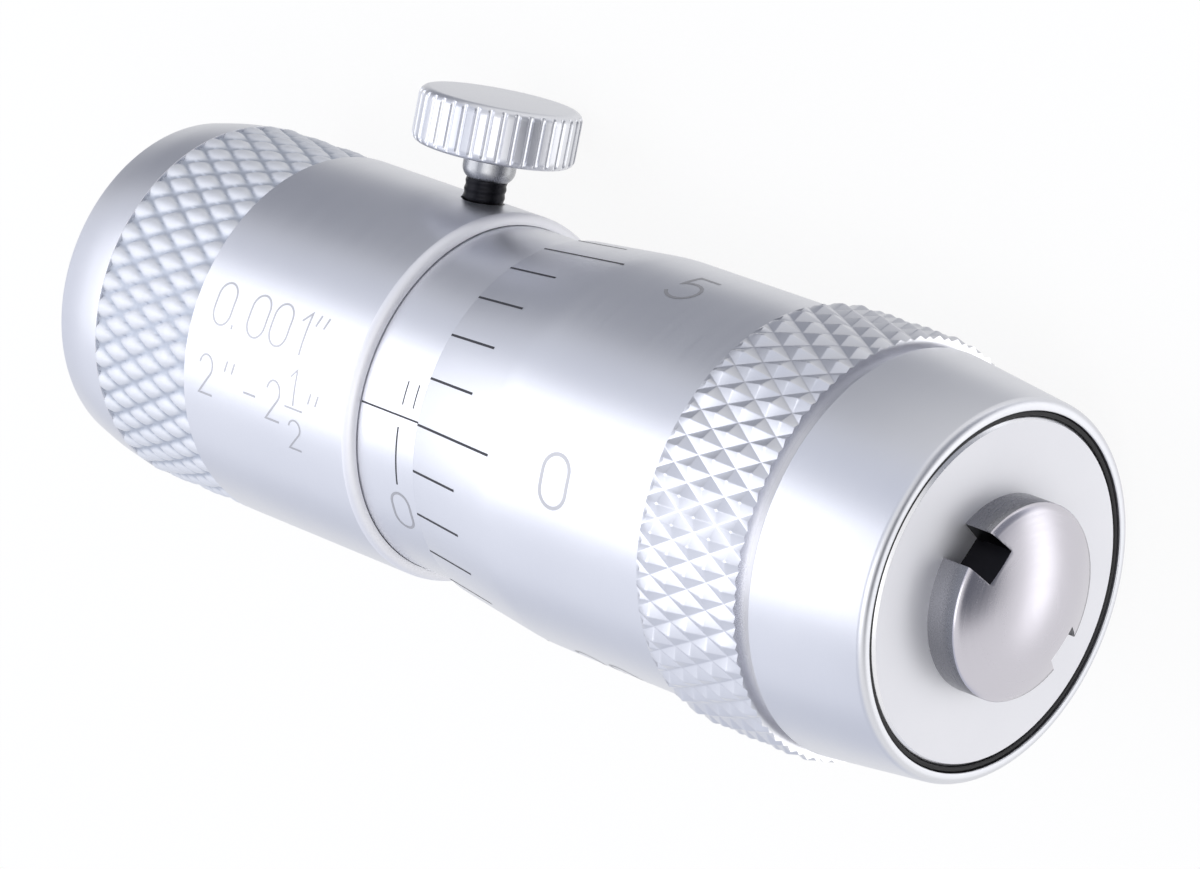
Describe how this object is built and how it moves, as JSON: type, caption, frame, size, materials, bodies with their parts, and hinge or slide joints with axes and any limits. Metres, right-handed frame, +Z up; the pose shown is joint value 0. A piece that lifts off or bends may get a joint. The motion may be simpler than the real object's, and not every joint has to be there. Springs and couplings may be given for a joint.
{
  "type": "inside micrometer head",
  "caption": "Inside micrometer head: knurled body with a fluted lock screw, graduated sleeve, knurled thimble and a domed measuring contact at each end.",
  "frame": {"origin": "on the measuring axis, in the middle of the body's plain length between its knurl and the lock screw, where a holder grips it", "axes": "+X along the measuring axis to the thimble end, +Z up as the head lies on its knurl and the lock screw's knob, +Y to the side the lock screw points"},
  "size_m": [0.052, 0.0214, 0.0178],
  "materials": {
    "satin_chrome": "satin",
    "pale_disc": "matt",
    "contact_steel": "ground",
    "inner_steel": "turned",
    "black_steel": "black oxide",
    "brass": "turned",
    "black_rubber": "matt",
    "line_fill": "matt"
  },
  "bodies": {
    "body": {"body_tube": "satin_chrome", "end_plug": "satin_chrome", "fixed_contact": "contact_steel", "inner_barrel": "inner_steel", "graduated_sleeve": "satin_chrome", "adjusting_nut": "inner_steel"},
    "thimble_slide": {"seal_ring": "black_rubber"},
    "thimble_set": {"thimble": "satin_chrome", "spindle": "inner_steel", "end_disc": "pale_disc", "moving_contact": "contact_steel"},
    "lock_slide": {"lock_pad": "brass"},
    "lock_screw": {"lock_stud": "black_steel", "lock_knob": "satin_chrome"}
  },
  "joints": [
    {"name": "spindle_advance", "type": "slide", "parent": "body", "child": "thimble_slide", "axis": [1, 0, 0], "range_m": [-0.00127, 0.01143]},
    {"name": "thimble_turn", "type": "hinge", "parent": "thimble_slide", "child": "thimble_set", "pos_m": [0, 0, 0], "axis": [1, 0, 0], "range_deg": [-720, 6480]},
    {"name": "lock_advance", "type": "slide", "parent": "body", "child": "lock_slide", "axis": [0, 0.8785, -0.4778], "range_m": [-0.0001, 0.0003]},
    {"name": "lock_turn", "type": "hinge", "parent": "lock_slide", "child": "lock_screw", "pos_m": [0.00572, 0, 0], "axis": [0, 0.8785, -0.4778], "range_deg": [-90, 270]}
  ],
  "couplings": [
    {"joint": "thimble_turn", "follows": "spindle_advance", "rad_per_m": 9894.8},
    {"joint": "lock_turn", "follows": "lock_advance", "rad_per_m": 15708}
  ]
}
